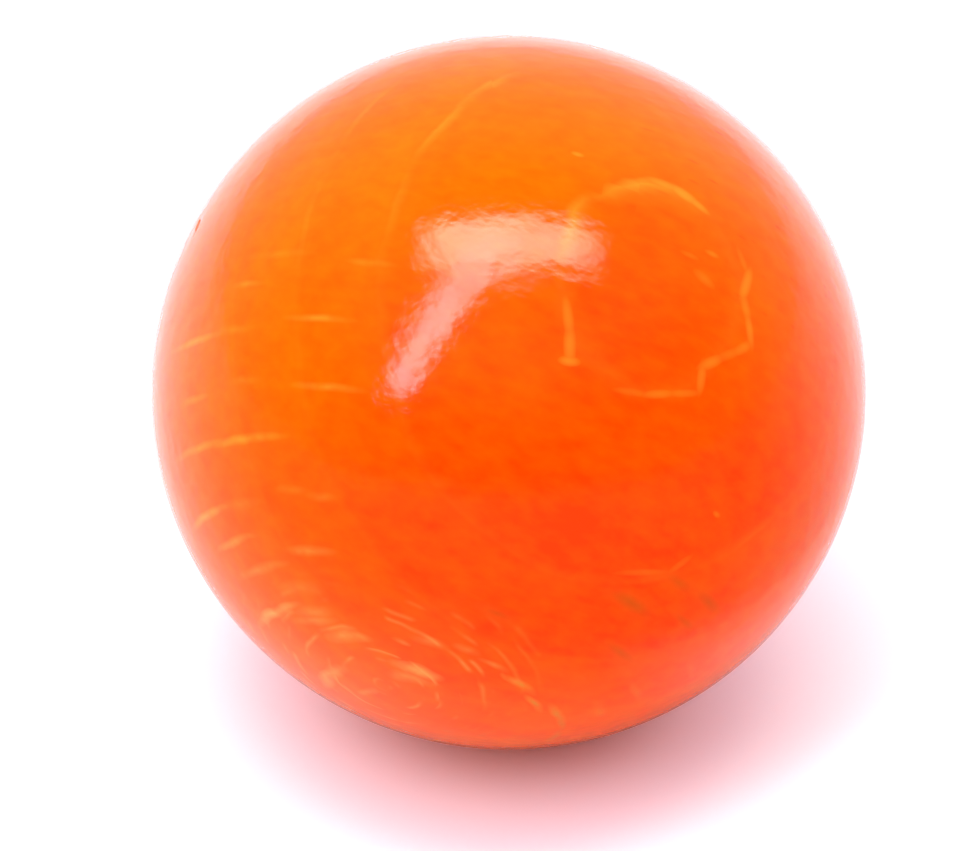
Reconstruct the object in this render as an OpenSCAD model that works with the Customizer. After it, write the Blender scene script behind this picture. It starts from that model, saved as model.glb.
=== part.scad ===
// Turned hardwood ball, one solid piece, dyed and clear lacquered all over.
// Its one break is a small chip in the end grain: a boat-shaped hollow with a
// fine crack that runs on from one end.
// +Z is up, and the origin is the centre of the ball.

/* [Ball] */
// Diameter across the finished ball
ball_d = 30; // [16:0.5:80]

/* [Chip] */
// Length of the chip's mouth, from point to point
chip_len = 0.9; // [0.6:0.05:1.6]
// Width of the chip's mouth across its middle
chip_w = 0.44; // [0.2:0.02:0.56]
// Depth of the chip below the ball's surface at its middle
chip_depth = 0.2; // [0.1:0.02:0.28]
// Bearing of the chip round the ball, anticlockwise from +X as seen from above
chip_bearing = 172.6; // [90:0.2:270]
// Angle of the chip above the ball's waist
chip_rise = 29.4; // [-60:0.2:60]
// Turn of the chip's length up from level
chip_turn = 0; // [-90:5:90]

/* [Crack] */
// Length of the crack's mouth, from its root inside the chip to its tip
crack_len = 0.45; // [0.3:0.05:1]
// Width of the crack's mouth across its middle
crack_w = 0.08; // [0.04:0.01:0.16]
// Depth of the crack at its middle
crack_depth = 0.1; // [0.06:0.01:0.14]
// Bend of the crack down from the chip's length
crack_bend = 50; // [10:5:70]

/* [Hidden] */

ball_r = ball_d / 2;
ball_fn = 180;
cut_fn = 96;

// The crack's root is a sixth of the chip's length back from the chip's end,
// and the crack's middle is half its own length on from there
root_reach = chip_len / 2 - chip_len / 6;
root_turn = asin(root_reach / ball_r);
middle_turn = asin(crack_len / 2 / ball_r);

// How far the ball's surface has fallen at this distance from a point on it
function fall(reach) = ball_r - sqrt(ball_r * ball_r - reach * reach);

// A cut with a pointed oval mouth, of this length and width, and this depth at its
// middle, at the +X side of the ball and with its length along Y. It is the lens
// between two equal spheres. Its edge is a circle that passes through both points
// of the mouth and its deepest point, and its thickness at the mouth is the width.
module lens_cut(len, w, depth) {
    end_rise = depth - fall(len / 2);
    side_rise = depth - fall(w / 2);
    edge_r = (len * len / 4 + end_rise * end_rise) / (2 * end_rise);
    offset = (2 * edge_r * side_rise - side_rise * side_rise - w * w / 4) / w;
    cut_r = sqrt(offset * offset + edge_r * edge_r);
    translate([ball_r - depth + edge_r, 0, 0])
        intersection() {
            translate([0, 0, offset]) sphere(r = cut_r, $fn = cut_fn);
            translate([0, 0, -offset]) sphere(r = cut_r, $fn = cut_fn);
        }
}

// Carries a cut from the +X side of the ball to the chip's place
module at_chip()
    rotate([0, 0, chip_bearing])
        rotate([chip_turn, -chip_rise, 0])
            children();

// Carries a cut from the middle of the chip to where the crack runs off it
module at_crack()
    rotate([0, 0, root_turn])
        rotate([-crack_bend, 0, 0])
            rotate([0, 0, middle_turn])
                children();

module ball()
    color("orangered")
        difference() {
            sphere(r = ball_r, $fn = ball_fn);
            at_chip() lens_cut(chip_len, chip_w, chip_depth);
            at_chip() at_crack() lens_cut(crack_len, crack_w, crack_depth);
        }

ball();
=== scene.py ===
"""A turned beech ball, dyed orange and clear lacquered, under a soft L-shaped studio light."""

import logging
import math
from collections.abc import Iterable
from dataclasses import dataclass, field
from enum import Enum

import bmesh
import bpy
from mathutils import Euler, Matrix, Vector, noise


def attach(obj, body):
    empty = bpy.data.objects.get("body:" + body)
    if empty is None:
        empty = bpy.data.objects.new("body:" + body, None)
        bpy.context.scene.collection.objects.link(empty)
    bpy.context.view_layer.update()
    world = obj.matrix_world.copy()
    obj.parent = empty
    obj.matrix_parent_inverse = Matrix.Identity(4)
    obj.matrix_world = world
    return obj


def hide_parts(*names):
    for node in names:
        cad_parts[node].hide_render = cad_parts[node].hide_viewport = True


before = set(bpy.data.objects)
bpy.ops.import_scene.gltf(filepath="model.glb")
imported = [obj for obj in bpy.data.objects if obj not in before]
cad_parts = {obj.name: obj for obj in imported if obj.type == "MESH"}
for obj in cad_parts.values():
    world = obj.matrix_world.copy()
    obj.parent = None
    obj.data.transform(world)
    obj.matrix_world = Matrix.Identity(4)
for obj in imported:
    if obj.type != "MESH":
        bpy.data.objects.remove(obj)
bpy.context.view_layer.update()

MM = 0.001  # the row frame is in metres; sizes below are in millimetres
LOG = logging.getLogger("wooden_ball")

Nodes = bpy.types.NodeTree
Socket = bpy.types.NodeSocket
Colour = tuple[float, float, float, float]
Source = float | tuple[float, ...] | Socket
Share = tuple[Socket, float, float, float, float]


class WoodWay(Enum):
    """The three directions of the wood, and the vector channel that holds each."""

    ACROSS_RAYS = "X"
    ACROSS_RINGS = "Y"
    ALONG_FIBRE = "Z"


class Falloff(Enum):
    """How a lump in the wood fades out, as the measure of how far from its middle a point lies."""

    STEADY = "LENGTH"
    FLAT = "DOT_PRODUCT"


class Sight(Enum):
    """The rays that see something of their own in the floor and the surround."""

    CAMERA = "Is Camera Ray"
    GLOSS = "Is Glossy Ray"


def linear(hex_colour: str) -> Colour:
    """Turns an sRGB colour into the linear one that the shaders use.

    Args:
        hex_colour: The colour as "#RRGGBB".

    Returns:
        Linear red, green, blue and an alpha of 1.
    """
    parts = [int(hex_colour[at : at + 2], 16) / 255 for at in (1, 3, 5)]
    red, green, blue = (p / 12.92 if p <= 0.04045 else ((p + 0.055) / 1.055) ** 2.4 for p in parts)
    return red, green, blue, 1.0


def add_node(
    tree: Nodes,
    kind: str,
    settings: dict[str, object] | None = None,
    inputs: dict[int | str, Source] | None = None,
) -> bpy.types.Node:
    """Adds a node with its settings and inputs.

    Args:
        tree: The node tree that the node goes into.
        kind: Blender's name of the node, without its "ShaderNode" start.
        settings: The node's own properties, by name.
        inputs: What goes into each input, a number or another node's output.

    Returns:
        The new node.
    """
    node = tree.nodes.new("ShaderNode" + kind)
    for name, value in (settings or {}).items():
        setattr(node, name, value)
    for name, source in (inputs or {}).items():
        if isinstance(source, Socket):
            tree.links.new(source, node.inputs[name])
        else:
            node.inputs[name].default_value = source
    return node


@dataclass(frozen=True)
class Grain:
    """How the wood's directions lie in the ball, in degrees."""

    fibre_bearing: float = 181.1
    fibre_rise: float = 27.6
    ring_roll: float = -36.7

    def turn(self) -> Euler:
        """Works out the turn from the row frame to the wood's own directions.

        Returns:
            The turn.
        """
        bearing, rise, roll = map(math.radians, (self.fibre_bearing, self.fibre_rise, self.ring_roll))
        level = math.cos(rise)
        fibre = Vector((math.cos(bearing) * level, math.sin(bearing) * level, math.sin(rise)))
        upright = (Vector((0, 0, 1)) - fibre * fibre.z).normalized()
        across_rings = Matrix.Rotation(roll, 3, fibre) @ upright
        return Matrix((across_rings.cross(fibre), across_rings, fibre)).to_euler("XYZ")


@dataclass(frozen=True)
class Patch:
    """A place where the wood differs: a lump in the wood's own millimetres and how much it differs.

    The lean, in degrees, turns the lump about the way across the rings.
    """

    middle: tuple[float, float, float]
    half: tuple[float, float, float]
    level: float
    lean: float = 0.0


@dataclass(frozen=True)
class Stroke:
    """A short pale line where a ring comes to the surface, in the wood's own millimetres.

    Each end is a place across the rays and along the fibre; the rings give the third number.
    """

    start: tuple[float, float]
    end: tuple[float, float]
    paleness: float
    half_width: float = 0.26
    rings: float = 14.3
    depth: float = 2.0
    overrun: float = 1.5  # how far it runs past each end as it fades, in half widths

    def lump(self) -> Patch:
        """Makes the stroke a lump in the wood.

        Returns:
            The lump.
        """
        across, fibre = self.end[0] - self.start[0], self.end[1] - self.start[1]
        middle = ((self.start[0] + self.end[0]) / 2, self.rings, (self.start[1] + self.end[1]) / 2)
        half_length = math.hypot(across, fibre) / 2 + self.overrun * self.half_width
        half = (half_length, self.depth, self.half_width)
        return Patch(middle, half, self.paleness, math.degrees(math.atan2(-fibre, across)))


@dataclass(frozen=True)
class Ray:
    """One broad ray of the beech: a thin sheet of paler cells, in the wood's own millimetres."""

    across: float
    rings: float
    fibre: float
    half_length: float
    paleness: float = 0.2
    half_height: float = 2.2
    half_thickness: float = 0.24

    def sheet(self) -> Patch:
        """Returns the ray as a lump in the wood."""
        half = (self.half_thickness, self.half_length, self.half_height)
        return Patch((self.across, self.rings, self.fibre), half, self.paleness)


@dataclass(frozen=True)
class DyedLacqueredBeech:
    """Beech dyed through its skin and clear lacquered: rings, rays and pores glow through a glossy coat."""

    grain: Grain = Grain()
    deep: str = "#FF3C00"  # red orange, where the dye went in deep, and on the side away from the light partly painted shade
    warm: str = "#FF7E00"  # yellower orange, where it stayed thin, and on the side the light falls on partly painted light
    pale: str = "#FFA62E"  # ring edges and rays, which take little dye
    end_pale: str = "#FFA850"  # rays near the end where they lie flat in the surface
    olive: str = "#D88A2C"  # rays on the far end, a little brown
    stain: str = "#8A5A16"  # ray cells that the dye turned brown
    pore: str = "#E63400"  # open pores, full of dye
    raw: str = "#E2A69A"  # bare wood in the chip
    # The side where the wood is reddest, partly deeper dye and partly painted shade, while the far side is
    # paler and yellower, partly painted light; and how far along it the change begins and ends
    dye_and_shade_side: tuple[float, float, float] = (0.6, 0.79, -0.07)
    dye_and_shade_reach: tuple[float, float] = (15.0, 4.5)
    tone_base: float = -0.49
    # The tree's middle, across the rays and across the rings, and how far the rings wander and jump
    pith: tuple[float, float] = (3.8, -51.3)
    ring_wander: float = 0.4
    ring_jump: float = 0.3
    # Each ring edge's distance from the pith, and how pale it is
    ring_edges: tuple[tuple[float, float], ...] = (
        (39.0, 0.5),
        (42.3, 0.4),
        (45.7, 0.4),
        (49.2, 0.3),
        (52.6, 0.25),
        (55.9, 0.25),
        (59.2, 0.35),
        (62.3, 0.5),
        (65.9, 0.7),
    )
    ring_span: tuple[float, float] = (36.0, 68.0)
    rays: tuple[Ray, ...] = (
        Ray(0.8, 6.8, 13.3, 2.0, 0.13),
        Ray(1.08, 10.5, 10.6, 1.0, 0.25, half_thickness=0.2),
        Ray(2.04, 5.3, 13.85, 1.1, 0.27, half_thickness=0.2),
        Ray(3.55, 8.8, 11.6, 1.9, 0.34, half_thickness=0.2),
        Ray(3.98, 2.0, 14.3, 2.6, 0.5, half_thickness=0.2),
        Ray(3.9, 4.6, 13.7, 1.6, 0.16),
        Ray(5.95, 5.1, 12.8, 1.3, 0.16),
        Ray(6.2, 8.8, 10.4, 2.0, 0.3, half_thickness=0.22),
        Ray(6.25, 1.5, 13.5, 1.4, 0.36, half_thickness=0.2),
        Ray(8.05, 4.4, 11.8, 3.0, 0.5, half_thickness=0.22),
        Ray(7.98, 1.2, 12.6, 2.9, 0.45, half_thickness=0.2),
        Ray(9.85, 5.8, 9.7, 0.8, 0.22, half_thickness=0.2),
        Ray(10.03, 6.9, 8.7, 0.7, 0.19, half_thickness=0.18),
        Ray(10.12, -0.3, 11.0, 2.6, 0.62, half_thickness=0.17),
        Ray(10.13, 2.7, 10.7, 1.6, 0.14),
        Ray(11.7, 4.95, 8.0, 1.4, 0.32, half_thickness=0.2),
        Ray(11.15, 0.9, 9.9, 2.0, 0.43, half_thickness=0.16),
        Ray(12.05, 1.6, 8.6, 2.2, 0.28, half_thickness=0.18),
        Ray(12.7, 3.1, 7.3, 1.4, 0.14),
        Ray(13.12, 0.2, 7.1, 2.5, 0.7, half_thickness=0.15),
        Ray(13.5, 2.3, 6.1, 1.4, 0.26, half_thickness=0.15),
        Ray(13.3, 2.7, 6.3, 1.2, 0.3, 1.3, 0.2),
        Ray(13.88, 3.05, 4.75, 1.3, 0.55, 1.4, 0.18),
        Ray(14.38, 3.8, 1.75, 0.9, 0.65, 1.4, 0.16),
        Ray(14.56, 3.1, 1.8, 0.8, 0.35, 1.4, 0.12),
        Ray(13.7, 5.7, 2.1, 0.7, 0.2, 1.0, 0.18),
        Ray(13.6, 6.27, 0.65, 0.5, 0.22, 0.7, 0.15),
        Ray(14.8, 0.3, 2.4, 0.8, 0.4, 0.5, 0.06),
        Ray(14.46, -0.7, 3.9, 1.9, 0.65, 1.4, 0.12),
        Ray(13.7, 6.05, -0.75, 0.9, 0.45, 0.9, 0.1),
        Ray(13.82, 5.3, -2.3, 1.0, 0.65, 1.2, 0.11),
        Ray(13.95, 4.2, -3.5, 1.1, 0.65, 0.9, 0.1),
        Ray(13.73, 3.2, -5.0, 1.9, 0.62, 1.5, 0.12),
        Ray(13.77, 0.9, -5.8, 1.2, 0.3, 1.0, 0.12),
        Ray(12.98, 3.8, -6.4, 1.1, 0.2, 1.2, 0.15),
        Ray(12.05, 5.0, -7.4, 1.1, 0.25, 1.6, 0.17),
        Ray(10.45, 5.4, -9.4, 1.1, 0.14, 1.4, 0.16),
    )
    # Where the ring edges show clearly, and their level elsewhere
    clear_edges: tuple[Patch, ...] = (
        Patch((-5.3, 13.9, 1.6), (2.2, 3.0, 3.4), 0.8),
        Patch((-2.6, 14.2, 4.1), (2.6, 3.0, 1.2), 0.7),
        Patch((-6.0, 10.0, 9.4), (2.8, 3.0, 1.7), 1.0),
        Patch((-8.6, 9.7, 7.6), (2.2, 3.0, 1.8), 0.8),
        Patch((-1.6, 11.0, 10.0), (2.2, 3.0, 1.5), 0.5),
        Patch((-6.5, 6.9, 11.6), (2.6, 3.0, 1.8), 0.8),
        Patch((-0.5, 7.4, 13.0), (3.0, 2.0, 1.6), 0.5),
        Patch((9.3, 10.8, -4.6), (1.4, 3.0, 2.6), 0.25),
        Patch((5.6, 10.9, -8.4), (2.6, 3.0, 1.4), 0.3),
    )
    faint_edges: float = 0.1
    strokes: tuple[Stroke, ...] = (
        Stroke((0.9, 3.4), (2.3, 2.76), 0.24),
        Stroke((2.1, 2.85), (3.1, 2.5), 0.28, 0.3),
        Stroke((3.28, 2.62), (3.22, 2.32), 0.3, 0.24),
        Stroke((-5.2, 1.85), (-5.75, 1.0), 0.3),
        Stroke((-5.75, 1.1), (-5.8, -0.2), 0.42),
        Stroke((-5.8, 0.0), (-5.6, -0.9), 0.5, 0.3),
        Stroke((-5.65, -0.7), (-5.35, -1.6), 0.4, 0.22),
        Stroke((-4.3, -3.4), (-3.6, -3.95), 0.14, 0.18),
        Stroke((-3.5, -4.1), (-2.4, -4.0), 0.32, 0.3),
        Stroke((-2.5, -3.95), (-1.6, -4.5), 0.22),
        Stroke((-1.7, -4.45), (-0.6, -5.0), 0.26, 0.22),
        Stroke((-0.5, -4.85), (0.0, -4.4), 0.2, 0.24),
        Stroke((-0.1, -4.5), (0.8, -3.5), 0.15, 0.24),
        Stroke((0.7, -3.65), (1.3, -3.05), 0.26, 0.28),
        Stroke((1.25, -3.05), (2.2, -3.25), 0.24),
        Stroke((2.4, -3.2), (2.95, -2.0), 0.18, 0.2),
        Stroke((2.9, -2.1), (3.4, -1.0), 0.22, 0.22),
        Stroke((3.35, -1.1), (3.65, 0.2), 0.14, 0.2),
        Stroke((-3.53, -2.0), (-3.53, -2.35), 0.22, 0.15),
        Stroke((-3.0, -0.9), (-3.0, -1.5), 0.14, 0.14),
        Stroke((-2.35, -1.8), (-2.2, -2.3), 0.16, 0.26),
        Stroke((-5.8, 4.1), (-5.8, 4.3), 0.34, 0.14, 13.2, 1.0),
        Stroke((9.75, -3.1), (8.8, -5.4), 0.12, 0.14, 10.9, 1.0),
        Stroke((8.75, -5.4), (8.0, -5.9), 0.14, 0.16, 11.05, 1.0),
        Stroke((6.15, -6.15), (6.15, -6.25), 0.22, 0.12, 12.2, 1.0),
        Stroke((14.5, -2.1), (14.7, -2.1), 0.6, 0.2, -2.6, 0.2),
    )
    stains: tuple[Patch, ...] = (
        Patch((10.32, 9.9, -4.4), (0.4, 1.4, 2.0), 0.36),
        Patch((8.9, 10.45, -6.0), (0.34, 1.0, 1.5), 0.25),
        Patch((8.75, 9.2, -7.9), (0.3, 1.2, 1.6), 0.25),
        Patch((11.7, 7.7, -5.3), (0.26, 1.3, 1.8), 0.25),
        Patch((9.75, 8.7, -7.3), (0.22, 1.0, 1.4), 0.2),
        Patch((12.4, 8.4, 0.5), (0.26, 1.0, 1.3), 0.3),
    )
    bare: tuple[Patch, ...] = (Patch((-1.9, -0.7, 14.45), (0.7, 0.7, 0.5), 1.5),)
    # A patch stands a little over its level in its middle
    fullness: float = 1.15
    # How far rays and flecks sway, and the flecks' spacing from sheet to sheet and thickness
    ray_sway: float = 0.2
    fleck_sway: float = 0.36
    fleck_spacing: float = 0.62
    fleck_thickness: float = 0.15
    flecks_per_mm: float = 0.6
    sheet_step: float = 7.3
    # Moves the middle of the loops that the flecks follow to zero
    fleck_middle: tuple[float, float, float] = (0.0, -1.6, -2.2)
    # The side where the pores show, and the height of the lacquer's ripples
    pore_side: tuple[float, float, float] = (-0.75, 0.45, -0.48)
    ripple: float = 0.026

    def build(self) -> bpy.types.Material:
        """Builds the finish as a node material.

        Returns:
            The material.
        """
        # Turned beech, dyed and dipped in clear lacquer: deep glowing orange under a wet-looking shine
        material = bpy.data.materials.new("dyed_lacquered_beech")
        material.use_nodes = True
        tree = material.node_tree
        tree.nodes.clear()
        wood = self._wood_space(tree)
        ways = add_node(tree, "SeparateXYZ", inputs={0: wood})
        distance = self._pith_distance(tree, wood, ways)
        sway = add_node(tree, "TexNoise", inputs={"Vector": wood, "Scale": 0.7, "Detail": 1.0}).outputs[1]
        tone = self._tone(tree, wood, distance)
        rings = self._ring_edges(tree, wood, distance)
        rays = self._rays(tree, self._wavy(tree, wood, sway, self.ray_sway))
        flecks = self._flecks(tree, self._wavy(tree, wood, sway, self.fleck_sway))
        pores = self._pores(tree, wood)
        stains = self._lumps(tree, wood, self.stains, 0.0)
        bare = self._lumps(tree, wood, self.bare, 0.0)
        colour = self._colour(tree, ways, tone, rings, rays, flecks, pores, stains, bare)
        bump = self._relief(tree, wood)
        shader = add_node(
            tree,
            "BsdfPrincipled",
            inputs={
                "Base Color": colour,
                "Roughness": 0.5,
                "IOR": 1.5,
                "Specular IOR Level": 0.0,
                "Coat Weight": 1.0,
                "Coat Roughness": 0.09,
                "Coat IOR": 1.5,
                "Normal": bump,
                "Coat Normal": bump,
            },
        )
        add_node(tree, "OutputMaterial", inputs={"Surface": shader.outputs[0]})
        return material

    def _wood_space(self, tree: Nodes) -> Socket:
        """Gives each point as millimetres across the rays, across the rings and along the fibre.

        Args:
            tree: The material's nodes.

        Returns:
            The point in the wood's own directions.
        """
        place = add_node(tree, "TexCoord")
        turned = add_node(
            tree,
            "Mapping",
            inputs={"Vector": place.outputs["Object"], "Rotation": self.grain.turn(), "Scale": (1 / MM,) * 3},
        )
        return turned.outputs[0]

    def _wavy(self, tree: Nodes, wood: Socket, sway: Socket, most: float) -> Socket:
        """Sways the point a little, so that no ray is quite flat.

        Args:
            tree: The material's nodes.
            wood: The point in the wood's directions.
            sway: The noise that moves it, from 0 to 1 each way.
            most: How far it moves, in millimetres.

        Returns:
            The swayed point.
        """
        shift = add_node(
            tree, "Mapping", inputs={"Vector": sway, "Location": (-most / 2,) * 3, "Scale": (most,) * 3}
        )
        return add_node(tree, "VectorMath", {"operation": "ADD"}, {0: wood, 1: shift.outputs[0]}).outputs[0]

    def _pith_distance(self, tree: Nodes, wood: Socket, ways: bpy.types.Node) -> Socket:
        """Gives the distance from the tree's pith, with the wander of real rings, as a share of the span.

        Args:
            tree: The material's nodes.
            wood: The point in the wood's directions.
            ways: The same point's three numbers.

        Returns:
            The share of the span of the rings.
        """
        sides = []
        for way, pith in zip((WoodWay.ACROSS_RAYS, WoodWay.ACROSS_RINGS), self.pith):
            place = ways.outputs[way.value]
            sides.append(add_node(tree, "Math", {"operation": "SUBTRACT"}, {0: place, 1: pith}).outputs[0])
        flat = add_node(tree, "CombineXYZ", inputs=dict(enumerate(sides)))
        length = add_node(tree, "VectorMath", {"operation": "LENGTH"}, {0: flat.outputs[0]})
        stretch = add_node(tree, "Mapping", inputs={"Vector": wood, "Scale": (0.5, 0.4, 0.25)})
        wander = add_node(
            tree,
            "TexNoise",
            inputs={"Vector": stretch.outputs[0], "Scale": 1.0, "Detail": 3.0, "Roughness": 0.6},
        )
        stepped = add_node(tree, "VectorMath", {"operation": "SNAP"}, {0: wood, 1: (0.7, 4.0, 1.5)})
        steps = add_node(tree, "TexNoise", inputs={"Vector": stepped.outputs[0], "Scale": 0.4, "Detail": 1.0})
        distance = length.outputs["Value"]
        for moved, most in ((wander, self.ring_wander), (steps, self.ring_jump)):
            inputs = {0: moved.outputs[0], 1: most, 2: distance}
            distance = add_node(tree, "Math", {"operation": "MULTIPLY_ADD"}, inputs).outputs[0]
        # The noises lie about a half, so they move the rings out by half of what they do at most
        mean = (self.ring_wander + self.ring_jump) / 2
        start, end = (edge + mean for edge in self.ring_span)
        return add_node(tree, "MapRange", inputs={0: distance, 1: start, 2: end}).outputs[0]

    def _ring_ramp(
        self,
        tree: Nodes,
        distance: Socket,
        steps: tuple[tuple[float, float], ...],
        own_level: bool = False,
    ) -> Socket:
        """Repeats a profile at the edge of each year's ring.

        Args:
            tree: The material's nodes.
            distance: The distance from the pith, as a share of the span.
            steps: The profile, as pairs of a distance from the edge and a level.
            own_level: Whether each ring's own paleness scales its profile.

        Returns:
            The level.
        """
        ramp = add_node(tree, "ValToRGB", inputs={0: distance})
        stops = ramp.color_ramp
        stops.elements.remove(stops.elements[1])
        stops.elements[0].color = (steps[0][1],) * 3 + (1,)
        start, end = self.ring_span
        for radius, paleness in self.ring_edges:
            for offset, level in steps:
                stop = stops.elements.new((radius + offset - start) / (end - start))
                stop.color = (level * (paleness if own_level else 1.0),) * 3 + (1,)
        return ramp.outputs[0]

    def _ring_edges(self, tree: Nodes, wood: Socket, distance: Socket) -> Socket:
        """Draws the pale line at the edge of each year's ring, clear only in places.

        Args:
            tree: The material's nodes.
            wood: The point in the wood's directions.
            distance: The distance from the pith.

        Returns:
            How pale the line is, from 0 to 1.
        """
        line = self._ring_ramp(tree, distance, ((-0.14, 0.0), (0.0, 1.0), (0.12, 0.0)), own_level=True)
        strength = self._lumps(tree, wood, self.clear_edges, self.faint_edges)
        clear = add_node(tree, "Math", {"operation": "MULTIPLY"}, {0: line, 1: strength})
        strokes = self._lumps(tree, wood, (stroke.lump() for stroke in self.strokes), 0.0, Falloff.FLAT)
        return add_node(tree, "Math", {"operation": "MAXIMUM"}, {0: clear.outputs[0], 1: strokes}).outputs[0]

    def _tone(self, tree: Nodes, wood: Socket, distance: Socket) -> Socket:
        """Mixes the slow change over the ball, partly painted light and shade, and the change within each
        ring with clouds and streaks.

        Args:
            tree: The material's nodes.
            wood: The point in the wood's directions.
            distance: The distance from the pith.

        Returns:
            How light the wood takes the dye, with painted light and shade across the ball, from 0 to 1.
        """
        year = self._ring_ramp(tree, distance, ((-0.3, 0.6), (0.3, 0.4)))
        # The change from the reddest side to the far side is partly the wood's own and partly painted light
        # and shade
        towards = add_node(tree, "VectorMath", {"operation": "DOT_PRODUCT"}, {0: wood, 1: self.dye_and_shade_side})
        near, far = self.dye_and_shade_reach
        paler_and_lit_side = add_node(tree, "MapRange", inputs={0: towards.outputs["Value"], 1: near, 2: far})
        clouds = add_node(tree, "TexNoise", inputs={"Vector": wood, "Scale": 0.15, "Detail": 3.0})
        strand = add_node(tree, "Mapping", inputs={"Vector": wood, "Scale": (1.7, 1.2, 0.9)})
        streaks = add_node(
            tree,
            "TexNoise",
            inputs={"Vector": strand.outputs[0], "Scale": 1.0, "Detail": 2.0, "Roughness": 0.5},
        )
        level: Source = self.tone_base
        nodes_and_shares = ((paler_and_lit_side, 0.6), (clouds, 0.3), (streaks, 0.4))
        shares = ((year, 0.4), *((node.outputs[0], share) for node, share in nodes_and_shares))
        for part, share in shares:
            inputs = {0: part, 1: share, 2: level}
            level = add_node(tree, "Math", {"operation": "MULTIPLY_ADD"}, inputs).outputs[0]
        return level

    def _lumps(
        self,
        tree: Nodes,
        place: Socket,
        patches: Iterable[Patch],
        least: float,
        falloff: Falloff = Falloff.STEADY,
    ) -> Socket:
        """Gives the highest of the patches' levels at a point, each fading out to its edge.

        Args:
            tree: The material's nodes.
            place: The point in the wood's directions.
            patches: The patches.
            least: The level away from all of them.
            falloff: How each patch fades.

        Returns:
            The level.
        """
        highest: Source = least
        for patch in patches:
            inside = add_node(
                tree,
                "Mapping",
                {"vector_type": "TEXTURE"},
                {
                    "Vector": place,
                    "Location": patch.middle,
                    "Rotation": (0.0, math.radians(patch.lean), 0.0),
                    "Scale": patch.half,
                },
            ).outputs[0]
            reach = add_node(tree, "VectorMath", {"operation": falloff.value}, {0: inside, 1: inside})
            top = self.fullness * patch.level
            inputs = {0: reach.outputs["Value"], 1: -top, 2: top}
            level = add_node(tree, "Math", {"operation": "MULTIPLY_ADD"}, inputs).outputs[0]
            highest = add_node(tree, "Math", {"operation": "MAXIMUM"}, {0: highest, 1: level}).outputs[0]
        return highest

    def _rays(self, tree: Nodes, wavy: Socket) -> Socket:
        """Draws the broad rays, each a thin sheet that tapers to its ends.

        Args:
            tree: The material's nodes.
            wavy: The swayed point in the wood's directions.

        Returns:
            How pale the ray is, from 0 to 1.
        """
        palest = self._lumps(tree, wavy, (ray.sheet() for ray in self.rays), 0.0)
        broken = add_node(tree, "TexNoise", inputs={"Vector": wavy, "Scale": 1.1, "Detail": 2.0})
        kept = add_node(tree, "MapRange", inputs={0: broken.outputs[0], 1: 0.35, 2: 0.6, 3: 0.6, 4: 1.15})
        return add_node(tree, "Math", {"operation": "MULTIPLY"}, {0: palest, 1: kept.outputs[0]}).outputs[0]

    def _flecks(self, tree: Nodes, wavy: Socket) -> Socket:
        """Draws the many small rays, as thin sheets broken into short patches.

        Args:
            tree: The material's nodes.
            wavy: The swayed point in the wood's directions.

        Returns:
            How pale the fleck is, from 0 to 1.
        """
        ways = add_node(tree, "SeparateXYZ", inputs={0: wavy})
        across, out, fibre = (ways.outputs[way.value] for way in WoodWay)
        flat = add_node(
            tree, "Mapping", inputs={"Vector": wavy, "Location": self.fleck_middle, "Scale": (0.0, 1.0, 1.0)}
        )
        reach = add_node(tree, "VectorMath", {"operation": "LENGTH"}, {0: flat.outputs[0]}).outputs["Value"]
        packed = add_node(tree, "Math", {"operation": "DIVIDE"}, {0: reach, 1: self.fleck_spacing})
        sheets = add_node(
            tree,
            "TexVoronoi",
            {"voronoi_dimensions": "1D"},
            {"W": packed.outputs[0], "Scale": 1.0, "Randomness": 1.0},
        )
        # Sheets side by side break at places of their own
        parts = []
        rate = self.flecks_per_mm
        for way, by in ((sheets.outputs["W"], self.sheet_step), (out, rate), (fibre, rate)):
            parts.append(add_node(tree, "Math", {"operation": "MULTIPLY"}, {0: way, 1: by}).outputs[0])
        patch = add_node(tree, "CombineXYZ", inputs=dict(enumerate(parts)))
        patches = add_node(tree, "TexNoise", inputs={"Vector": patch.outputs[0], "Scale": 1.0, "Detail": 1.0})
        return self._product(
            tree,
            (
                (sheets.outputs["Distance"], self.fleck_thickness / self.fleck_spacing, 0.0, 0.0, 1.0),
                (patches.outputs[0], 0.5, 0.62, 0.0, 1.0),
                (across, 12.2, 13.7, 0.0, 0.36),
                (fibre, -3.6, -0.6, 0.15, 1.0),
            ),
        )

    def _product(self, tree: Nodes, shares: tuple[Share, ...]) -> Socket:
        """Multiplies levels, each of which follows a value between two limits.

        Args:
            tree: The material's nodes.
            shares: Each value, where its level starts and stops changing, and the level at each.

        Returns:
            The product.
        """
        level: Source = 1.0
        for value, start, end, first, last in shares:
            inputs = {0: value, 1: start, 2: end, 3: first, 4: last}
            share = add_node(tree, "MapRange", inputs=inputs).outputs[0]
            level = add_node(tree, "Math", {"operation": "MULTIPLY"}, {0: level, 1: share}).outputs[0]
        return level

    def _pores(self, tree: Nodes, wood: Socket) -> Socket:
        """Draws the dark pores, drawn out along the fibre and clearest on the side away from the rays.

        Args:
            tree: The material's nodes.
            wood: The point in the wood's directions.

        Returns:
            How dark the pore is, from 0 to 1.
        """
        # Real pores are under 0.1 mm wide and close together, so these are drawn wider and fewer to show
        strand = add_node(tree, "Mapping", inputs={"Vector": wood, "Scale": (1.8, 1.8, 0.4)})
        cells = add_node(tree, "TexVoronoi", inputs={"Vector": strand.outputs[0], "Scale": 1.0})
        side = add_node(tree, "VectorMath", {"operation": "DOT_PRODUCT"}, {0: wood, 1: self.pore_side})
        return self._product(
            tree,
            (
                (cells.outputs["Distance"], 0.17, 0.06, 0.0, 1.0),
                (side.outputs["Value"], 8.0, 14.0, 0.0, 0.55),
            ),
        )

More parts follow.
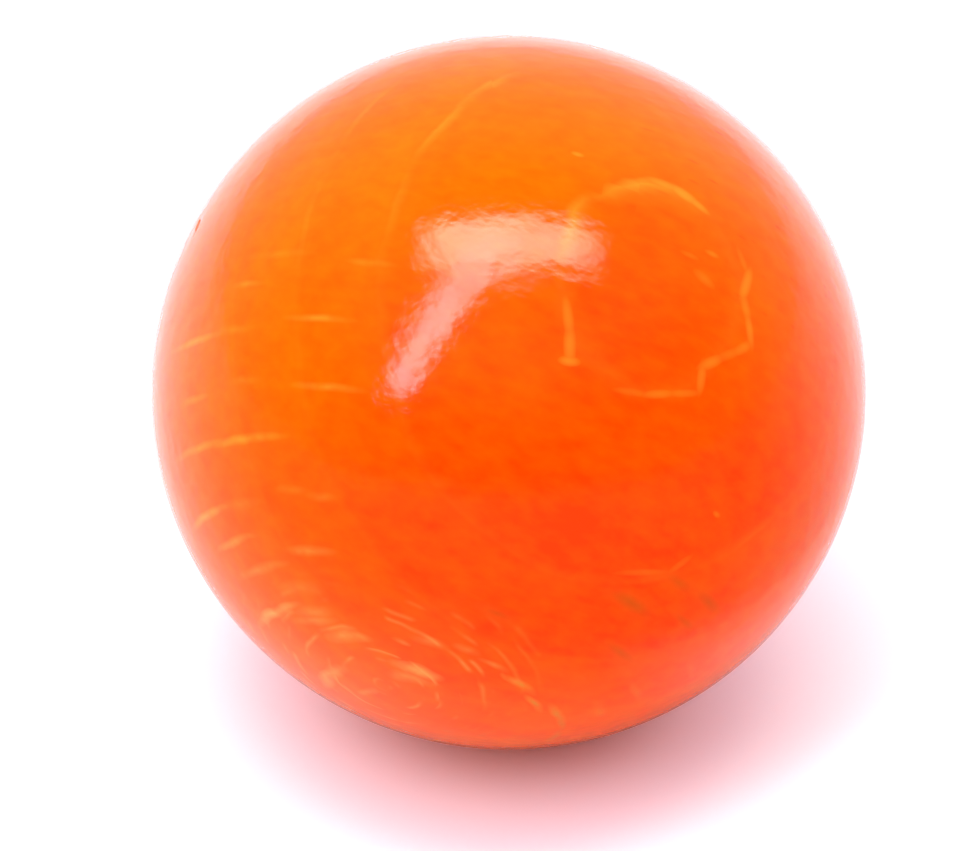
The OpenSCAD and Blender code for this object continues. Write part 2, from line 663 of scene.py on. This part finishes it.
    def _colour(
        self,
        tree: Nodes,
        ways: bpy.types.Node,
        tone: Socket,
        rings: Socket,
        rays: Socket,
        flecks: Socket,
        pores: Socket,
        stains: Socket,
        bare: Socket,
    ) -> Socket:
        """Mixes the dyed wood's colours.

        Args:
            tree: The material's nodes.
            ways: The point's three numbers in the wood's directions.
            tone: How light the wood takes the dye, with painted light and shade across the ball.
            rings: How pale the ring edges are.
            rays: How pale the broad rays are.
            flecks: How pale the small rays are.
            pores: How dark the pores are.
            stains: Where ray cells have taken the dye brown.
            bare: Where the wood lies bare.

        Returns:
            The base colour.
        """
        colour: Source = linear(self.deep)
        ray_colour: Source = linear(self.pale)
        changes = (
            (WoodWay.ACROSS_RAYS, 9.0, 13.0, self.end_pale),
            (WoodWay.ALONG_FIBRE, 0.5, -2.5, self.olive),
        )
        for way, start, end, over in changes:
            share = add_node(tree, "MapRange", inputs={0: ways.outputs[way.value], 1: start, 2: end})
            inputs = {0: share.outputs[0], 6: ray_colour, 7: linear(over)}
            ray_colour = add_node(tree, "Mix", {"data_type": "RGBA"}, inputs).outputs[2]
        layers = (
            # The tone layer holds painted light and shade as well as the wood's own changes
            (tone, linear(self.warm)),
            (rings, linear(self.pale)),
            (flecks, ray_colour),
            (rays, ray_colour),
            (pores, linear(self.pore)),
            (stains, linear(self.stain)),
            (bare, linear(self.raw)),
        )
        for share, over in layers:
            colour = add_node(tree, "Mix", {"data_type": "RGBA"}, {0: share, 6: colour, 7: over}).outputs[2]
        return colour

    def _relief(self, tree: Nodes, wood: Socket) -> Socket:
        """Gives the lacquer its fine unevenness.

        Args:
            tree: The material's nodes.
            wood: The point in the wood's directions.

        Returns:
            The bumped normal.
        """
        strand = add_node(tree, "Mapping", inputs={"Vector": wood, "Scale": (1.4, 1.3, 0.9)})
        ripple = add_node(tree, "TexNoise", inputs={"Vector": strand.outputs[0], "Scale": 1.0, "Detail": 2.5})
        inputs = {"Strength": 1.0, "Distance": self.ripple * MM, "Height": ripple.outputs[0]}
        return add_node(tree, "Bump", inputs=inputs).outputs[0]


@dataclass
class Chip:
    """A small chip in the end grain with a crack that runs on from it, in millimetres and degrees."""

    length: float = 0.9
    width: float = 0.44
    depth: float = 0.2
    bearing: float = 172.6
    rise: float = 29.4
    crack_length: float = 0.45
    crack_width: float = 0.08
    crack_depth: float = 0.1
    crack_bend: float = 50.0

    def place(self) -> Matrix:
        """Returns the chip's own frame: X out of the ball, Y along the chip and Z across it."""
        turn = Matrix.Rotation(math.radians(self.bearing), 3, "Z")
        return turn @ Matrix.Rotation(math.radians(-self.rise), 3, "Y")

    def crack_place(self, radius: float) -> Matrix:
        """Returns the crack's own frame, whose Y runs along the crack.

        Args:
            radius: The ball's radius in millimetres.

        Returns:
            The frame.
        """
        root = Matrix.Rotation(math.asin((self.length / 2 - self.length / 6) / radius), 3, "Z")
        bend = Matrix.Rotation(math.radians(-self.crack_bend), 3, "X")
        middle = Matrix.Rotation(math.asin(self.crack_length / 2 / radius), 3, "Z")
        return self.place() @ root @ bend @ middle


def lens_floor(
    along: float, across: float, radius: float, length: float, width: float, depth: float
) -> float:
    """Finds how far from the ball's centre the floor of a boat-shaped cut lies.

    Args:
        along: The place along the cut from its middle.
        across: The place across it.
        radius: The ball's radius.
        length: The cut's length at the surface.
        width: Its width there.
        depth: Its depth in the middle.

    Returns:
        The distance out from the centre, along the cut's own axis.
    """
    fall = [radius - math.sqrt(radius**2 - (side / 2) ** 2) for side in (length, width)]
    end_rise, side_rise = depth - fall[0], depth - fall[1]
    edge = (length**2 / 4 + end_rise**2) / (2 * end_rise)
    offset = (2 * edge * side_rise - side_rise**2 - width**2 / 4) / width
    inside = offset**2 + edge**2 - along**2 - (abs(across) + offset) ** 2
    return radius - depth + edge - math.sqrt(inside) if inside > 0 else radius


@dataclass
class TurnedBall:
    """The ball itself, in millimetres."""

    radius: float = 14.998
    splits: tuple[int, ...] = (1, 1, 1, 2, 3)
    chip: Chip = field(default_factory=Chip)
    # The middle of the chip with its crack, along and across it, and how far round it the mesh is finer
    chip_middle: tuple[float, float] = (0.1, -0.1)
    chip_reach: float = 1.5
    reach_step: float = 0.2
    chip_splits: int = 4
    # A cut moves points only in this much of the ball's height at the chip
    cap_height: float = 0.2
    sway: float = 0.012
    sway_length: float = 7.0

    def build(self, material: bpy.types.Material) -> bpy.types.Object:
        """Makes the ball and dresses it.

        Args:
            material: The finish.

        Returns:
            The ball, ready to ride on its body.
        """
        shape = bmesh.new()
        bmesh.ops.create_cube(shape, size=2 * self.radius / math.sqrt(3))
        self._lay_out(shape)
        for cuts in self.splits:
            self._split(shape, shape.edges[:], cuts)
        self._refine(shape)
        self._sway(shape)
        self._cut_chip(shape)
        for face in shape.faces:
            face.smooth = True
        bmesh.ops.scale(shape, vec=(MM, MM, MM), verts=shape.verts)
        bmesh.ops.recalc_face_normals(shape, faces=shape.faces)
        mesh = bpy.data.meshes.new("turned_ball")
        shape.to_mesh(mesh)
        shape.free()
        mesh.materials.append(material)
        piece = bpy.data.objects.new("turned_ball", mesh)
        bpy.context.scene.collection.objects.link(piece)
        return piece

    def _split(self, shape: bmesh.types.BMesh, edges: list[bmesh.types.BMEdge], cuts: int) -> None:
        """Splits edges and brings the new points out to the sphere.

        Args:
            shape: The ball.
            edges: The edges to split.
            cuts: How many times to cut each.
        """
        bmesh.ops.subdivide_edges(
            shape, edges=edges, cuts=cuts, use_grid_fill=True, use_sphere=True, smooth=self.radius
        )

    def _lay_out(self, shape: bmesh.types.BMesh) -> None:
        """Gives each side of the starting cube its own square of the map that the finish is baked to.

        Args:
            shape: The cube.
        """
        layer = shape.loops.layers.uv.new("OFBake")
        columns, rows, gap = 3, 2, 0.01
        for number, face in enumerate(shape.faces):
            corner = Vector((number % columns / columns, number // columns / rows))
            for loop, (right, up) in zip(face.loops, ((0, 0), (1, 0), (1, 1), (0, 1))):
                inner = Vector(((gap + right * (1 - 2 * gap)) / columns, (gap + up * (1 - 2 * gap)) / rows))
                loop[layer].uv = corner + inner

    def _refine(self, shape: bmesh.types.BMesh) -> None:
        """Makes the mesh finer step by step towards the chip.

        Args:
            shape: The ball.
        """
        middle = self.chip.place() @ Vector((self.radius, *self.chip_middle))
        for step in range(self.chip_splits):
            reach = self.chip_reach - self.reach_step * step
            near = {
                edge
                for face in shape.faces
                if (face.calc_center_median() - middle).length < reach
                for edge in face.edges
            }
            self._split(shape, list(near), 1)

    def _sway(self, shape: bmesh.types.BMesh) -> None:
        """Lets the surface sink here and there, as sanding by hand leaves it.

        Args:
            shape: The ball.
        """
        for vert in shape.verts:
            level = noise.noise(vert.co / self.sway_length)
            vert.co *= 1 - self.sway * (0.5 + 0.5 * level) / self.radius

    def _cut_chip(self, shape: bmesh.types.BMesh) -> None:
        """Sinks the chip and its crack into the surface.

        Args:
            shape: The ball.
        """
        chip = self.chip
        cuts = (
            (chip.place(), chip.length, chip.width, chip.depth),
            (chip.crack_place(self.radius), chip.crack_length, chip.crack_width, chip.crack_depth),
        )
        for place, length, width, depth in cuts:
            back = place.transposed()
            out = place @ Vector((1, 0, 0))
            for vert in shape.verts:
                if vert.co.dot(out) < self.radius - self.cap_height:
                    continue
                local = back @ vert.co
                floor = lens_floor(local.y, local.z, self.radius, length, width, depth)
                if floor < local.x:
                    vert.co += out * (floor - local.x)


@dataclass(frozen=True)
class GlossRoom:
    """What the gloss of the ball sees: a room that is white behind the ball and dark towards its front."""

    # The walls: towards the viewer, their level at the back, and how it grows from front to back
    front: tuple[float, float, float] = (0.0, -0.809, 0.588)
    bright: float = 1.08
    turn: float = 0.6
    turn_span: float = 1.5
    curve: float = 2.7
    # The floor, in millimetres: its white begins in front of the ball and falls back at the sides
    near: float = 13.0
    spread: float = 0.9
    side_fall: float = 0.41
    lean: float = -9.0
    least: float = 0.03
    whitening: tuple[float, float] = (-0.7, 0.9)
    # A lit patch of floor at the right, which begins this far right and ends this far off
    right_glow: float = 0.33
    glow_start: tuple[float, float] = (7.0, 14.0)
    glow_end: tuple[float, float] = (28.0, 21.0)

    def wall(self, tree: Nodes, direction: Socket) -> Socket:
        """Gives how bright the room's walls are in a direction.

        Args:
            tree: The world's nodes.
            direction: The direction from the ball.

        Returns:
            The brightness, where 1 is white.
        """
        facing = add_node(tree, "VectorMath", {"operation": "DOT_PRODUCT"}, {0: direction, 1: self.front})
        inputs = {0: facing.outputs["Value"], 1: self.turn, 2: self.turn - self.turn_span}
        away = add_node(tree, "MapRange", inputs=inputs)
        curved = add_node(tree, "Math", {"operation": "POWER"}, {0: away.outputs[0], 1: self.curve})
        inputs = {0: curved.outputs[0], 1: self.bright}
        return add_node(tree, "Math", {"operation": "MULTIPLY"}, inputs).outputs[0]

    def ground(self, tree: Nodes, place: Socket) -> Socket:
        """Gives how white the floor is at a place.

        Args:
            tree: The floor's nodes.
            place: The place in the row frame.

        Returns:
            The whiteness, where 1 is white.
        """
        scaled = add_node(tree, "VectorMath", {"operation": "SCALE"}, {0: place, "Scale": 1 / MM})
        ways = add_node(tree, "SeparateXYZ", inputs={0: scaled.outputs[0]})
        reach = add_node(tree, "VectorMath", {"operation": "LENGTH"}, {0: scaled.outputs[0]}).outputs["Value"]
        leant = add_node(tree, "Math", {"operation": "SUBTRACT"}, {0: ways.outputs[0], 1: self.lean})
        aside = add_node(tree, "Math", {"operation": "ABSOLUTE"}, {0: leant.outputs[0]})
        behind = add_node(tree, "Math", {"operation": "ADD"}, {0: ways.outputs[1], 1: self.near})
        inputs = {0: aside.outputs[0], 1: -self.side_fall, 2: behind.outputs[0]}
        lead = add_node(tree, "Math", {"operation": "MULTIPLY_ADD"}, inputs).outputs[0]
        inputs = {0: reach, 1: self.spread, 2: self.near / 2}
        scale = add_node(tree, "Math", {"operation": "MULTIPLY_ADD"}, inputs).outputs[0]
        share = add_node(tree, "Math", {"operation": "DIVIDE"}, {0: lead, 1: scale}).outputs[0]
        start, end = self.whitening
        inputs = {0: share, 1: start, 2: end, 3: self.least, 4: 1.0}
        white = add_node(tree, "MapRange", {"interpolation_type": "SMOOTHSTEP"}, inputs).outputs[0]
        start, end = self.glow_start
        inputs = {0: ways.outputs[0], 1: start, 2: end, 4: self.right_glow}
        beside = add_node(tree, "MapRange", inputs=inputs).outputs[0]
        start, end = self.glow_end
        close = add_node(tree, "MapRange", inputs={0: reach, 1: start, 2: end}).outputs[0]
        inputs = {0: beside, 1: close, 2: white}
        return add_node(tree, "Math", {"operation": "MULTIPLY_ADD"}, inputs).outputs[0]


@dataclass
class Floor:
    """The pale floor that the ball stands on, in millimetres."""

    room: GlossRoom
    size: float = 8000.0
    level: float = -15.0
    white: float = 0.9
    seen_white: float = 1.18

    def build(self) -> bpy.types.Object:
        """Makes the floor and its paper-white finish.

        Returns:
            The floor.
        """
        shape = bmesh.new()
        bmesh.ops.create_grid(shape, x_segments=1, y_segments=1, size=self.size / 2)
        bmesh.ops.translate(shape, verts=shape.verts, vec=(0, 0, self.level))
        bmesh.ops.scale(shape, vec=(MM, MM, MM), verts=shape.verts)
        mesh = bpy.data.meshes.new("floor")
        shape.to_mesh(mesh)
        shape.free()
        mesh.materials.append(self._finish())
        piece = bpy.data.objects.new("floor", mesh)
        bpy.context.scene.collection.objects.link(piece)
        return piece

    def _finish(self) -> bpy.types.Material:
        """Makes a matt white that the camera sees a little brighter than the ball does.

        Returns:
            The material.
        """
        # Uncoated white paper: no shine at all, so the floor is one even white around the shadow
        material = bpy.data.materials.new("matt_white_paper")
        material.use_nodes = True
        tree = material.node_tree
        tree.nodes.clear()
        path = add_node(tree, "LightPath")
        place = add_node(tree, "TexCoord")
        room = self.room.ground(tree, place.outputs["Object"])
        seen: Source = self.white
        for sight, white in ((Sight.GLOSS, room), (Sight.CAMERA, self.seen_white)):
            inputs = {0: path.outputs[sight.value], 2: seen, 3: white}
            seen = add_node(tree, "Mix", {"data_type": "FLOAT"}, inputs).outputs[0]
        shader = add_node(tree, "BsdfDiffuse", inputs={"Color": seen})
        add_node(tree, "OutputMaterial", inputs={"Surface": shader.outputs[0]})
        return material


@dataclass
class Lamp:
    """A soft rectangular lamp that fades out to its edges, in millimetres.

    A fade is a share of half the lamp's size, and the taper narrows the lamp towards its first end.
    """

    name: str
    place: tuple[float, float, float]
    long_way: tuple[float, float, float]
    size: tuple[float, float]
    radiance: float
    colour: str = "#FFFFFF"
    end_fades: tuple[float, float] = (0.1, 0.1)
    side_fades: tuple[float, float] = (0.1, 0.1)
    taper: float = 0.0
    mottle: float = 0.22
    back: tuple[float, float, float] = (0.0, 0.0, 1.0)
    in_gloss: bool = True

    def build(self) -> bpy.types.Object:
        """Hangs the lamp.

        Returns:
            The lamp.
        """
        light = bpy.data.lights.new(self.name, "AREA")
        light.shape = "RECTANGLE"
        light.size, light.size_y = (side * MM for side in self.size)
        light.color = linear(self.colour)[:3]
        light.energy = self.radiance * math.pi * light.size * light.size_y
        out, side = Vector(self.back), Vector(self.long_way).normalized()
        turn = Matrix((side, out.cross(side), out)).transposed()
        lamp = bpy.data.objects.new(self.name, light)
        lamp.matrix_world = Matrix.Translation(Vector(self.place) * MM) @ turn.to_4x4()
        lamp.visible_glossy = self.in_gloss
        self._fade(light, turn.to_euler("XYZ"))
        bpy.context.scene.collection.objects.link(lamp)
        return lamp

    def _fade(self, light: bpy.types.Light, turn: Euler) -> None:
        """Lets the lamp's light fade towards its edges, with soft clouds in it.

        Args:
            light: The lamp's light.
            turn: How the lamp is turned.
        """
        light.use_nodes = True
        tree = light.node_tree
        tree.nodes.clear()
        place = add_node(tree, "NewGeometry")
        inside = add_node(
            tree,
            "Mapping",
            {"vector_type": "TEXTURE"},
            {
                "Vector": place.outputs["Position"],
                "Location": Vector(self.place) * MM,
                "Rotation": turn,
                "Scale": (light.size / 2, light.size_y / 2, 1.0),
            },
        )
        ways = add_node(tree, "SeparateXYZ", inputs={0: inside.outputs[0]})
        inputs = {0: ways.outputs[0], 1: self.taper, 2: 1.0}
        widening = add_node(tree, "Math", {"operation": "MULTIPLY_ADD"}, inputs).outputs[0]
        across = add_node(tree, "Math", {"operation": "DIVIDE"}, {0: ways.outputs[1], 1: widening}).outputs[0]
        spread = add_node(tree, "Math", {"operation": "MULTIPLY"}, {0: across, 1: 1 + self.taper}).outputs[0]
        clouds = add_node(tree, "TexNoise", inputs={"Vector": inside.outputs[0], "Scale": 5.0, "Detail": 2.0})
        inputs = {0: clouds.outputs[0], 1: 0.3, 2: 0.7, 3: 1 - self.mottle, 4: 1 + self.mottle}
        level = add_node(tree, "MapRange", inputs=inputs).outputs[0]
        for way, (first, last) in ((ways.outputs[0], self.end_fades), (spread, self.side_fades)):
            for edge, fade in ((-1.0, first), (1.0, -last)):
                inputs = {0: way, 1: edge, 2: edge + fade}
                kept = add_node(tree, "MapRange", {"interpolation_type": "SMOOTHSTEP"}, inputs).outputs[0]
                level = add_node(tree, "Math", {"operation": "MULTIPLY"}, {0: level, 1: kept}).outputs[0]
        glow = add_node(tree, "Emission", inputs={"Strength": level})
        add_node(tree, "OutputLight", inputs={"Surface": glow.outputs[0]})


@dataclass
class Surround:
    """The soft light from all round, and what the gloss of the ball sees of it."""

    room: GlossRoom
    low: float = 0.36
    high: float = 1.25
    top_gap: float = 1.3
    back: float = 1.0
    colour: str = "#E6E6FF"

    def build(self) -> bpy.types.World:
        """Makes the world.

        Returns:
            The world.
        """
        world = bpy.data.worlds.new("soft_surround")
        world.use_nodes = True
        tree = world.node_tree
        tree.nodes.clear()
        path = add_node(tree, "LightPath")
        place = add_node(tree, "TexCoord")
        room = self.room.wall(tree, place.outputs["Generated"])
        ways = add_node(tree, "SeparateXYZ", inputs={0: place.outputs["Generated"]})
        strength: Source = self.low
        height = ways.outputs[2]
        lower = add_node(tree, "Math", {"operation": "SUBTRACT"}, {0: 1.0, 1: height}).outputs[0]
        behind = add_node(tree, "Math", {"operation": "MULTIPLY"}, {0: ways.outputs[1], 1: lower}).outputs[0]
        # Each light grows between two heights to its level, and counts by its share
        lights = (
            (0.3, 0.8, self.high, 1.0),
            (0.75, 1.0, -self.top_gap, 1.0),
            (0.0, 0.5, self.back, behind),
        )
        for start, end, most, share in lights:
            inputs = {0: height, 1: start, 2: end, 3: 0.0, 4: most}
            level = add_node(tree, "MapRange", {"interpolation_type": "SMOOTHSTEP"}, inputs).outputs[0]
            inputs = {0: level, 1: share, 2: strength}
            strength = add_node(tree, "Math", {"operation": "MULTIPLY_ADD"}, inputs).outputs[0]
        kept = add_node(tree, "Math", {"operation": "MAXIMUM"}, {0: strength, 1: 0.0})
        fill = add_node(
            tree, "VectorMath", {"operation": "SCALE"}, {0: linear(self.colour)[:3], "Scale": kept.outputs[0]}
        ).outputs[0]
        seen: Source = fill
        for sight, over in ((Sight.GLOSS, room), (Sight.CAMERA, linear("#FFFFFF"))):
            inputs = {0: path.outputs[sight.value], 6: seen, 7: over}
            seen = add_node(tree, "Mix", {"data_type": "RGBA"}, inputs).outputs[2]
        light = add_node(tree, "Background", inputs={"Color": seen, "Strength": 1.0})
        add_node(tree, "OutputWorld", inputs={"Surface": light.outputs[0]})
        bpy.context.scene.world = world
        return world


@dataclass
class Camera:
    """A long lens that looks down on the ball, in millimetres and degrees."""

    rise: float = 36.0
    distance: float = 600.0
    sensor: float = 36.0
    # The ball's width, and how far its middle stands right of and above the frame's, in frame widths
    ball_share: float = 0.7308
    right: float = 0.0189
    above: float = 0.0344

    def build(self, radius: float) -> bpy.types.Object:
        """Sets up the camera.

        Args:
            radius: The ball's radius.

        Returns:
            The camera.
        """
        lens = bpy.data.cameras.new("camera")
        limb = math.tan(math.asin(radius / self.distance))
        lens.sensor_width = self.sensor
        lens.lens = self.ball_share * self.sensor / 2 / limb
        lens.shift_x, lens.shift_y = -self.right, -self.above
        lens.clip_start, lens.clip_end = 0.01, 20
        camera = bpy.data.objects.new("camera", lens)
        rise = math.radians(self.rise)
        back = Vector((0, -math.cos(rise), math.sin(rise)))
        camera.location = back * self.distance * MM
        camera.rotation_euler = back.to_track_quat("Z", "Y").to_euler()
        bpy.context.scene.collection.objects.link(camera)
        bpy.context.scene.camera = camera
        return camera


# Two lamps make the highlight's bar, one its knee and one its leg. At one height they would hide one
# another in the gloss, so each hangs 2 mm above the last. The low one lights the ball's near side.
LAMPS = (
    Lamp("bar_light", (12, -51, 600), (1, -0.03, 0), (696, 258), 7.3, "#FFF6E2", (0.42, 0.5), (0.75, 0.7)),
    Lamp("bar_core", (-84, -34, 602), (1, -0.03, 0), (400, 180), 1.3, "#FFF6E2", (0.8, 0.8), (0.8, 0.8)),
    Lamp("knee_light", (-60, -160, 604), (1, 0, 0), (420, 210), 2.8, "#FFF6F2", (0.9, 0.9), (0.9, 0.9)),
    Lamp(
        "leg_light",
        (-450, -511, 606),
        (-0.686, -0.73, 0),
        (1470, 345),
        7.2,
        "#FFF4FF",
        (0.65, 0.7),
        (1.0, 0.7),
        0.25,
    ),
    Lamp("low_fill", (0, -600, 0), (1, 0, 0), (1007, 126), 3.3, back=(0, -1, 0), in_gloss=False),
)


def main() -> None:
    """Builds the ball and its studio."""
    logging.basicConfig(level=logging.INFO, format="%(message)s")
    scene = bpy.context.scene
    scene.view_settings.view_transform = "Standard"
    ball = TurnedBall()
    piece = ball.build(DyedLacqueredBeech().build())
    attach(piece, "root")
    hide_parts("ball")
    LOG.info("%s: %d faces", piece.name, len(piece.data.polygons))
    room = GlossRoom()
    for part in (Floor(room), *LAMPS, Surround(room)):
        LOG.info("%s is in place", part.build().name)
    LOG.info("%s is in place", Camera().build(ball.radius).name)


if __name__ == "__main__":
    main()
